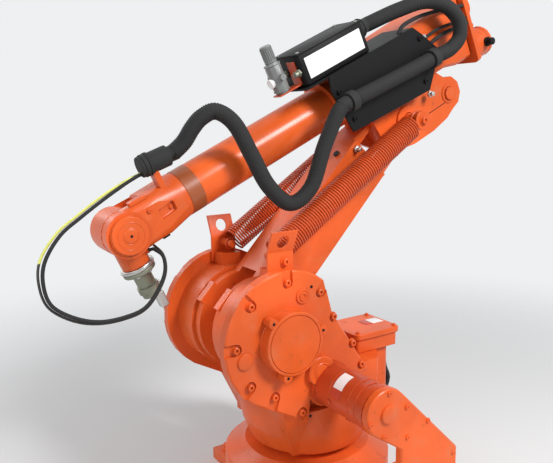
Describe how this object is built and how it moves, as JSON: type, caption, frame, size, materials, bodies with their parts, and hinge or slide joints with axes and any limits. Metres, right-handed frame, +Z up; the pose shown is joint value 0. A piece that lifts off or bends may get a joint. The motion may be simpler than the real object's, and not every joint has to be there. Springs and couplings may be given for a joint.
{
  "type": "six-axis industrial robot arm",
  "caption": "Floor-standing six-axis robot arm with parallel linkage, balance springs, feed hose and control box.",
  "frame": {"origin": "centre of the base's underside, under the turning axis of the stand", "axes": "+Z up, +X the way the arm reaches, +Y the side that carries the feed hose"},
  "size_m": [1.1545, 0.6846, 1.2292],
  "materials": {
    "orange_paint": "satin orange machine paint",
    "deep_orange_paint": "darker satin orange paint",
    "black_paint": "black powder coat",
    "black_rubber": "satin black plastic and rubber",
    "white_plate": "plain white plate",
    "pale_grey": "matt pale grey",
    "bare_steel": "machined",
    "olive_grey": "dull grey-green",
    "yellow_green_wire": "satin yellow-green sheath"
  },
  "bodies": {
    "base": {"base_casting": "orange_paint", "base_connector_cover": "orange_paint", "near_front_floor_stud": "orange_paint", "far_front_floor_stud": "orange_paint", "far_rear_floor_stud": "orange_paint"},
    "stand": {"stand_casting": "orange_paint", "near_gear_housing": "orange_paint", "far_gear_housing": "orange_paint", "near_gear_cover": "orange_paint", "far_gear_cover": "orange_paint", "near_motor": "deep_orange_paint", "far_motor": "deep_orange_paint", "near_motor_cover": "orange_paint", "far_motor_cover": "orange_paint", "junction_box": "orange_paint", "junction_lid": "orange_paint", "near_spring_bracket": "orange_paint", "far_spring_bracket": "orange_paint", "near_drop_cable": "black_rubber", "far_drop_cable": "black_rubber"},
    "lower_arm": {"lower_arm_casting": "orange_paint", "near_spring": "deep_orange_paint", "far_spring": "deep_orange_paint"},
    "elbow_pin": {"elbow_pin": "orange_paint"},
    "upper_arm": {"upper_arm_housing": "orange_paint", "rear_motor_plate": "orange_paint", "axis_4_motor": "orange_paint", "axis_5_motor": "orange_paint", "axis_6_motor": "orange_paint", "side_panel": "black_paint", "control_box": "black_paint", "blank_plate": "white_plate", "box_gland": "black_rubber", "regulator_bracket": "deep_orange_paint", "regulator_body": "pale_grey", "regulator_knob": "pale_grey", "front_hose_clamp": "black_rubber", "rear_hose_clamp": "black_rubber", "hose_upper": "black_rubber"},
    "lever": {"lever": "orange_paint"},
    "rod_pin": {"rod_pin": "bare_steel"},
    "rod": {"parallel_rod": "orange_paint"},
    "forearm": {"forearm_tube": "orange_paint", "wrist_fork": "orange_paint", "near_wrist_cover": "orange_paint", "far_wrist_cover": "orange_paint", "wrist_gland": "black_rubber", "hose_loop": "black_rubber", "signal_cable": "black_rubber", "earth_wire": "yellow_green_wire"},
    "wrist": {"wrist_body": "orange_paint"},
    "tool_flange": {"tool_flange": "bare_steel", "tool_adaptor": "olive_grey", "tool_block": "bare_steel"}
  },
  "joints": [
    {"name": "axis_1", "type": "hinge", "parent": "base", "child": "stand", "pos_m": [0, 0, 0], "axis": [0, 0, 1], "range_deg": [-170, 170]},
    {"name": "axis_2", "type": "hinge", "parent": "stand", "child": "lower_arm", "pos_m": [0.15, 0, 0.475], "axis": [0, 1, 0], "range_deg": [-1, 113], "deforming": ["near_spring", "far_spring"]},
    {"name": "elbow_level", "type": "hinge", "parent": "lower_arm", "child": "elbow_pin", "pos_m": [-0.25996, 0, 0.9131], "axis": [0, 1, 0], "range_deg": [-113, 1]},
    {"name": "axis_3", "type": "hinge", "parent": "elbow_pin", "child": "upper_arm", "pos_m": [-0.25996, 0, 0.9131], "axis": [0, 1, 0], "range_deg": [-90.5, 1]},
    {"name": "lever_turn", "type": "hinge", "parent": "stand", "child": "lever", "pos_m": [0.15, 0, 0.475], "axis": [0, 1, 0], "range_deg": [-90.5, 1]},
    {"name": "rod_pin_level", "type": "hinge", "parent": "upper_arm", "child": "rod_pin", "pos_m": [-0.39535, 0, 0.97767], "axis": [0, 1, 0], "range_deg": [-1, 90.5]},
    {"name": "rod_turn", "type": "hinge", "parent": "rod_pin", "child": "rod", "pos_m": [-0.39535, 0, 0.97767], "axis": [0, 1, 0], "range_deg": [-1, 113]},
    {"name": "axis_4", "type": "hinge", "parent": "upper_arm", "child": "forearm", "pos_m": [-0.2083, 0, 1.02141], "axis": [0.9026, 0, -0.4305], "range_deg": [-150, 150], "deforming": ["hose_loop"]},
    {"name": "axis_5", "type": "hinge", "parent": "forearm", "child": "wrist", "pos_m": [0.44156, 0, 0.71144], "axis": [0, 1, 0], "range_deg": [-204, 26], "deforming": ["signal_cable", "earth_wire"]},
    {"name": "axis_6", "type": "hinge", "parent": "wrist", "child": "tool_flange", "pos_m": [0.44156, 0, 0.71144], "axis": [-0.4179, 0, -0.9085], "range_deg": [-300, 300]}
  ],
  "couplings": [
    {"joint": "elbow_level", "follows": "axis_2", "ratio": -1},
    {"joint": "lever_turn", "follows": "axis_3", "ratio": 1},
    {"joint": "rod_pin_level", "follows": "axis_3", "ratio": -1},
    {"joint": "rod_turn", "follows": "axis_2", "ratio": 1}
  ]
}
